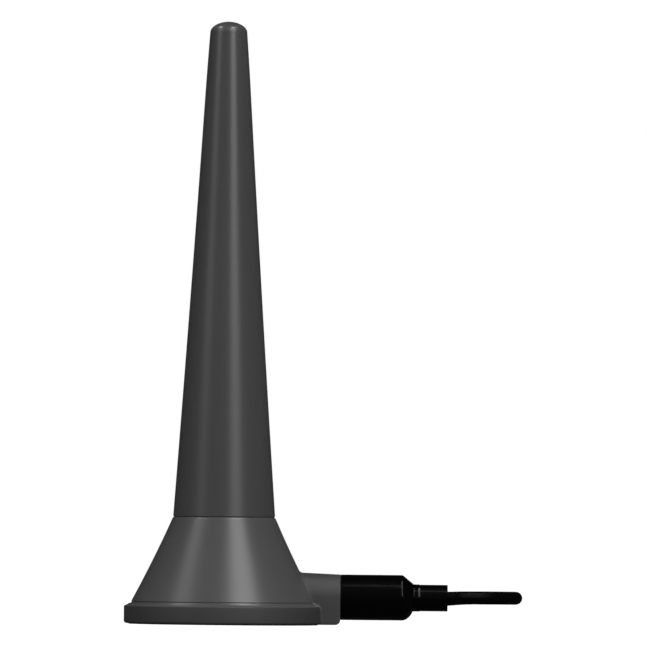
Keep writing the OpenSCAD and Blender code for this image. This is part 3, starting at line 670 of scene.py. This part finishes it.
def mast_profile():
    """The sleeve's profile from the tip: a full dome, the taper, the foot and the hollow. On the dome, the
    square of radius / TIP_R and the DOME_POWER of rise / DOME_H add up to one."""
    rise = np.sin(np.radians(np.linspace(90, 0, 40)))
    dome = np.column_stack([TIP_R * np.sqrt(1 - rise ** DOME_POWER), TAPER_TOP_Z + DOME_H * rise])
    outer_z = np.linspace(TAPER_TOP_Z - DOME_EDGE, BASE_H + FOOT_CHAMFER, 90)
    inner_z = np.linspace(SEAT_TOP_Z, HOLLOW_TOP_Z, 30)
    return np.vstack([
        dome, np.column_stack([mast_r(outer_z), outer_z]),
        [(SEAM_R - FOOT_CHAMFER, BASE_H), (mast_r(SEAT_TOP_Z) - MAST_WALL, BASE_H)],
        np.column_stack([mast_r(inner_z) - MAST_WALL, inner_z]),
        [(PIN_BORE_R, HOLLOW_TOP_Z), (PIN_BORE_R, PIN_BORE_TOP_Z), (0, PIN_BORE_TOP_Z)]])


# Base

def cone_r(z):
    """Radius of the cone: a straight line plus a small square flare near its foot."""
    u = (BASE_H - z) / (BASE_H - LEDGE_Z)
    return SEAM_R + (FOOT_R - SEAM_R) * ((1 - CONE_FLARE) * u + CONE_FLARE * u * u)


def outer_profile():
    """The base's outside from its bottom edge to the seam: rounded rim, sloping ledge, a fine bead that runs
    round the ledge, the thin groove behind it, and the cone."""
    rim_top = (BASE_R - RIM_TOP_ROUND, RIM_H - RIM_TOP_ROUND)
    groove_r = cone_r(GROOVE_Z) - GROOVE_DEPTH
    cone_z = np.linspace(GROOVE_Z + GROOVE_H / 2, BASE_H - SEAM_ROUND, 60)
    return np.vstack([
        arc((BASE_R - RIM_BOTTOM_ROUND, RIM_BOTTOM_Z + RIM_BOTTOM_ROUND), RIM_BOTTOM_ROUND, -90, 0, 9),
        arc(rim_top, RIM_TOP_ROUND, 0, 75, 8), arc((LEDGE_BEAD_R, LEDGE_Z), LEDGE_BEAD_ROUND, 10, 150, 14),
        [(groove_r + GROOVE_LEAN, GROOVE_Z - GROOVE_H / 2), (groove_r, GROOVE_Z - GROOVE_H / 4),
         (groove_r, GROOVE_Z + GROOVE_H / 4)], np.column_stack([cone_r(cone_z), cone_z]),
        arc((SEAM_R - SEAM_ROUND, BASE_H - SEAM_ROUND), SEAM_ROUND, 22, 90, 6)])


def housing_profile():
    """The base's whole profile: its outside, the mast's socket, the deck, the cavity and the two recesses."""
    cavity_z = np.linspace(DECK_Z, POT_TOP_Z, 20)
    return np.vstack([
        [(PAD_RECESS_R, PAD_T), (PAD_RECESS_R, RIM_BOTTOM_Z)], outer_profile(),
        [(SOCKET_R, BASE_H), (SOCKET_R, DECK_TOP_Z), (BUSH_HOLE_R, DECK_TOP_Z), (BUSH_HOLE_R, DECK_Z)],
        np.column_stack([cone_r(cavity_z) - HOUSING_WALL, cavity_z]),
        [(POT_RECESS_R, POT_TOP_Z), (POT_RECESS_R, PAD_T)]])


def arch_weights():
    """How much of the half width, the corner round, and the height of the bottom each point of the spout's
    arched outline takes: half circle, upright side, round corner, flat bottom, and back up."""
    turn = np.radians(np.linspace(0, 180, 49))
    down, corner = np.linspace(0, 1, 9)[1:], np.radians(np.linspace(180, 270, 6)[1:])
    over = np.linspace(0, 1, 11)[1:-1]
    other_corner = np.radians(np.linspace(270, 360, 6)[:-1])

    def part(width, edge, sine, drop, edge_z):
        return np.broadcast_arrays(width, edge, sine, drop, edge_z)
    parts = [part(np.cos(turn), 0.0, np.sin(turn), 0.0, 0.0),
             part(-1.0, 0.0, 0.0, down, 0.0),
             part(-1.0, 1 + np.cos(corner), 0.0, 1.0, np.sin(corner)),
             part(2 * over - 1, 1 - 2 * over, 0.0, 1.0, -1.0),
             part(1.0, np.cos(other_corner) - 1, 0.0, 1.0, np.sin(other_corner)),
             part(1.0, 0.0, 0.0, down[::-1], 0.0)]
    return np.concatenate([np.array(p) for p in parts], axis=1)


def spout_rings():
    """The arched spout and the nozzle inside the boot, as stations along +X. The outline is an arch whose
    half width grows towards the cone. Near the cone it flares out by a quarter circle as a fillet, and its
    first station follows the cone just under its surface. The bore runs back into the spout."""
    width, edge, sine, drop, edge_z = arch_weights()
    profile = outer_profile()
    first_guess = 18.0

    def outline(x, growth, bottom_z):
        half = BOOT_R + (SPOUT_X - x) * SPOUT_DRAFT + growth
        foot = bottom_z + SPOUT_EDGE - CABLE_Z
        return half * width + SPOUT_EDGE * edge, CABLE_Z + half * sine + foot * drop + SPOUT_EDGE * edge_z

    def on_cone(gap, growth):
        # The cone's radius depends on the height, and that on x, so a few rounds bring them together
        x = np.full(width.shape, first_guess)
        for _ in range(6):
            y, z = outline(x, growth, RIM_BOTTOM_Z)
            skin_r = np.interp(z, profile[:, 1], profile[:, 0])
            x = np.sqrt(np.maximum(skin_r ** 2 - y ** 2, 1)) + gap
        return np.stack([x, y, z], axis=-1)

    fillet = np.radians(np.linspace(90, 0, 8))
    stations = [on_cone(-SPOUT_SUNK, SPOUT_FILLET)]
    stations += [on_cone(SPOUT_FILLET * (1 - np.sin(a)), SPOUT_FILLET * (1 - np.cos(a))) for a in fillet]
    near = stations[-1][:, 0]
    corner_x = SPOUT_X - SPOUT_CORNER
    for share in np.linspace(0, 1, 8)[1:]:
        x = near + (corner_x - near) * share
        y, z = outline(x, 0, RIM_BOTTOM_Z)
        stations.append(np.stack([x, y, z], axis=-1))
    for a in np.radians(np.linspace(0, 90, 12)[1:]):
        x = np.full(width.shape, corner_x + SPOUT_CORNER * np.sin(a))
        inset = SPOUT_END_ROUND - np.sqrt(np.maximum(
            SPOUT_END_ROUND ** 2 - np.maximum(x - SPOUT_X + SPOUT_END_ROUND, 0) ** 2, 0))
        y, z = outline(x, -inset, RIM_BOTTOM_Z + SPOUT_CORNER * (1 - np.cos(a)))
        stations.append(np.stack([x, y, z], axis=-1))
    angle = np.arctan2(stations[-1][:, 2] - CABLE_Z, stations[-1][:, 1])
    nozzle = [(0, NOZZLE_R), (BEAD_X, NOZZLE_R), (BEAD_X, NOZZLE_R + BEAD_RISE),
              (BEAD_X + BEAD_W, NOZZLE_R + BEAD_RISE), (NOZZLE_L, NOZZLE_R - BEAD_RISE),
              (NOZZLE_L, CABLE_R + FIT_GAP), (-NOZZLE_BACK, CABLE_R + FIT_GAP)]
    for along, r in nozzle:
        stations.append(np.stack([np.full(angle.shape, SPOUT_X + along), r * np.cos(angle),
                                  CABLE_Z + r * np.sin(angle)], axis=-1))
    return np.stack(stations)


# Boot

def boot_rings():
    """The strain relief boot, turned round the cable's line. Its shoulder slopes straight on top, with a
    round at each end, and becomes a full round below, by a smooth share of the sine of the angle.
    Rings at LEVEL_RUN from each step keep the shading of the straight lengths level."""
    sides = 192
    angle = np.linspace(0, 2 * np.pi, sides, endpoint=False)
    shoulder_x, end_x = BOOT_L + SHOULDER_L, BOOT_L + SHOULDER_L + NECK_L
    root_r = NECK_R + NECK_STEP
    slope = np.arctan2(BOOT_R - root_r, SHOULDER_L)
    tilt, half = np.degrees(slope), np.tan(slope / 2)
    top = arc((BOOT_L - SHOULDER_TOP_ROUND * half, BOOT_R - SHOULDER_TOP_ROUND), SHOULDER_TOP_ROUND,
              90, 90 - tilt, 12)
    root = arc((shoulder_x + SHOULDER_ROOT_ROUND * half, root_r + SHOULDER_ROOT_ROUND),
               SHOULDER_ROOT_ROUND, 270 - tilt, 270, 8)
    between = np.linspace(top[-1], root[0], 7)[1:-1]
    straight = np.vstack([top, between, root])
    bend = np.radians(np.linspace(0, 90, len(straight)))
    rounded = np.column_stack([BOOT_L + SHOULDER_ROUND_X + SHOULDER_ROUND_L * np.sin(bend),
                               root_r + (BOOT_R - root_r) * np.cos(bend) ** SHOULDER_ROUND_POWER])
    change_from, change_over = SHOULDER_CHANGE
    lower = smoothstep((change_from - np.sin(angle)) / change_over)[None, :, None]
    shoulder = straight[:, None] * (1 - lower) + rounded[:, None] * lower
    front = np.array([(0, NOZZLE_R + FIT_GAP), (0, BOOT_R - BOOT_FRONT_ROUND), (0.05, BOOT_R - 0.06),
                      (BOOT_FRONT_ROUND, BOOT_R), (LEVEL_RUN, BOOT_R), (6, BOOT_R), (BOOT_L - 0.6, BOOT_R)])
    step_x = shoulder_x + NECK_STEP_L
    neck = np.array([(shoulder_x + LEVEL_RUN, root_r), (step_x - LEVEL_RUN, root_r), (step_x, root_r),
                     (step_x + NECK_STEP_SLOPE, NECK_R), (step_x + LEVEL_RUN, NECK_R),
                     (end_x - NECK_END_EDGE, NECK_R), (end_x, NECK_R - NECK_END_EDGE),
                     (end_x, CABLE_R + FIT_GAP), (NOZZLE_L + FIT_GAP, CABLE_R + FIT_GAP),
                     (NOZZLE_L + FIT_GAP, NOZZLE_R - BEAD_RISE + FIT_GAP),
                     (BEAD_X + BEAD_W, NOZZLE_R + BEAD_RISE + FIT_GAP),
                     (BEAD_X, NOZZLE_R + BEAD_RISE + FIT_GAP), (BEAD_X, NOZZLE_R + FIT_GAP)])
    rings = np.concatenate([np.broadcast_to(front[:, None], (len(front), sides, 2)), shoulder,
                            np.broadcast_to(neck[:, None], (len(neck), sides, 2))])
    return np.stack([SPOUT_X + rings[..., 0], rings[..., 1] * np.cos(angle),
                     CABLE_Z + rings[..., 1] * np.sin(angle)], axis=-1)


# Studio

def area_light(name, azimuth, elevation, width, height, brightness, in_gloss):
    """A soft rectangular lamp that faces the mast. Its power is brightness times pi times its area, so
    brightness is how it compares with white. Without in_gloss it leaves no highlight."""
    data = bpy.data.lights.new(name, "AREA")
    data.shape, data.size, data.size_y = "RECTANGLE", width, height
    data.energy = brightness * np.pi * width * height
    light = bpy.data.objects.new(name, data)
    bearing, rise = np.radians(azimuth), np.radians(elevation)
    towards = Vector((np.sin(bearing) * np.cos(rise), -np.cos(bearing) * np.cos(rise), np.sin(rise)))
    light.location = Vector((0, 0, 60)) * MM + towards * LAMP_DISTANCE
    light.rotation_mode = "QUATERNION"
    light.rotation_quaternion = towards.to_track_quat("Z", "Y")
    light.visible_camera, light.visible_glossy = False, in_gloss
    bpy.context.scene.collection.objects.link(light)


def seen_directly(tree):
    """1 for rays that show the background: from the camera, or by way of gloss or glass."""
    rays = add_node(tree, "ShaderNodeLightPath", {}).outputs
    some = add_node(tree, "ShaderNodeMath", {0: rays["Is Camera Ray"], 1: rays["Is Glossy Ray"]},
                    operation="MAXIMUM")
    return add_node(tree, "ShaderNodeMath", {0: some.outputs[0], 1: rays["Is Transmission Ray"]},
                    operation="MAXIMUM").outputs[0]


def make_world():
    """White where it is seen. The light that reaches the object is a dim fill, brightest from the camera's
    side and fading to nothing behind."""
    world = bpy.data.worlds.new("studio")
    world.use_nodes = True
    tree = world.node_tree
    tree.nodes.clear()
    bearing = add_node(tree, "ShaderNodeSeparateXYZ",
                       {"Vector": add_node(tree, "ShaderNodeTexCoord", {}).outputs["Generated"]})
    level = add_node(tree, "ShaderNodeMapRange", {
        "Value": bearing.outputs["Y"], "From Min": 1.0, "From Max": -1.0, "To Min": 0.0, "To Max": FILL})
    fill = add_node(tree, "ShaderNodeBackground", {"Color": (1, 1, 1, 1), "Strength": level.outputs[0]})
    white = add_node(tree, "ShaderNodeBackground", {"Color": (1, 1, 1, 1), "Strength": 1.0})
    mixed = add_node(tree, "ShaderNodeMixShader",
                     {0: seen_directly(tree), 1: fill.outputs[0], 2: white.outputs[0]})
    add_node(tree, "ShaderNodeOutputWorld", {"Surface": mixed.outputs[0]})
    bpy.context.scene.world = world


def studio_piece(name, points, faces, material):
    """A piece of the studio, from points in metres."""
    mesh = bpy.data.meshes.new(name)
    mesh.from_pydata(points, [], faces)
    mesh.materials.append(material)
    piece = bpy.data.objects.new(name, mesh)
    bpy.context.scene.collection.objects.link(piece)
    return piece


def circle(radius, sides, z):
    """Points round a level circle: (r cos a, r sin a, z)."""
    angle = np.linspace(0, 2 * np.pi, sides, endpoint=False)
    return np.column_stack([radius * np.cos(angle), radius * np.sin(angle), 0 * angle + z])


def make_floor():
    """A round sheet of card. What it throws back on the object is that of a pale grey, and where it is seen
    it is mostly its own white, so that a faint shadow stays."""
    sides = 96
    material, tree, place = start_material("white_card")
    fibre = add_node(tree, "ShaderNodeTexNoise", {"Vector": place, "Scale": 1 / (2 * MM)})
    shade = add_node(tree, "ShaderNodeMix", {0: fibre.outputs[0], 6: linear("#9c9c9c"), 7: linear("#a4a4a4")},
                     data_type="RGBA")
    card = add_node(tree, "ShaderNodeBsdfDiffuse", {"Color": shade.outputs[2]})
    white = add_node(tree, "ShaderNodeEmission", {"Color": (1, 1, 1, 1), "Strength": FLOOR_GLOW})
    share = add_node(tree, "ShaderNodeMath", {0: seen_directly(tree), 1: FLOOR_GLOW_SHARE},
                     operation="MULTIPLY")
    mixed = add_node(tree, "ShaderNodeMixShader",
                     {0: share.outputs[0], 1: card.outputs[0], 2: white.outputs[0]})
    end_material(material, tree, mixed)
    floor = studio_piece("floor", circle(FLOOR_R, sides, 0), [list(range(sides))], material)


def make_surround():
    """Dark cloth that only reflections see: a closed drum round the studio, a little paler towards the
    camera. It keeps the object's sides dark against the white, as in the photograph."""
    sides = 64
    step = np.arange(sides)
    beside = (step + 1) % sides
    walls = np.column_stack([step, beside, beside + sides, step + sides]).tolist()
    foot = circle(CLOTH_R, sides, CLOTH_FOOT)
    material, tree, place = start_material("grey_cloth")
    axes = add_node(tree, "ShaderNodeSeparateXYZ", {"Vector": place})
    shade = add_node(tree, "ShaderNodeMapRange", {
        "Value": axes.outputs["Y"], "From Min": CLOTH_R / 2, "From Max": -CLOTH_R,
        "To Min": CLOTH_SHADES[0], "To Max": CLOTH_SHADES[1]})
    nap = add_node(tree, "ShaderNodeEmission", {"Color": (1, 1, 1, 1), "Strength": shade.outputs[0]})
    end_material(material, tree, nap)
    cloth = studio_piece("surround", np.concatenate([foot, foot + (0, 0, CLOTH_H)]),
                         [*walls, step.tolist(), (step + sides).tolist()], material)
    cloth.visible_camera = cloth.visible_diffuse = False
    cloth.visible_shadow = cloth.visible_transmission = False


place_camera()
finishes = make_finishes()
make_cable()
dress_cad_nodes()
make_piece("mast_shell", [(turned(mast_profile()), False)], "mast_plastic", ["mast_sleeve"])
make_piece("base_shell", [(turned(housing_profile()), True), (spout_rings(), True)], "base_plastic",
           ["base_housing"])
make_piece("strain_relief", [(boot_rings(), True)], "boot_rubber", ["strain_relief_boot"])
make_floor()
make_surround()
make_world()
for lamp in LAMPS:
    area_light(*lamp)

bpy.context.scene.view_settings.view_transform = "Standard"
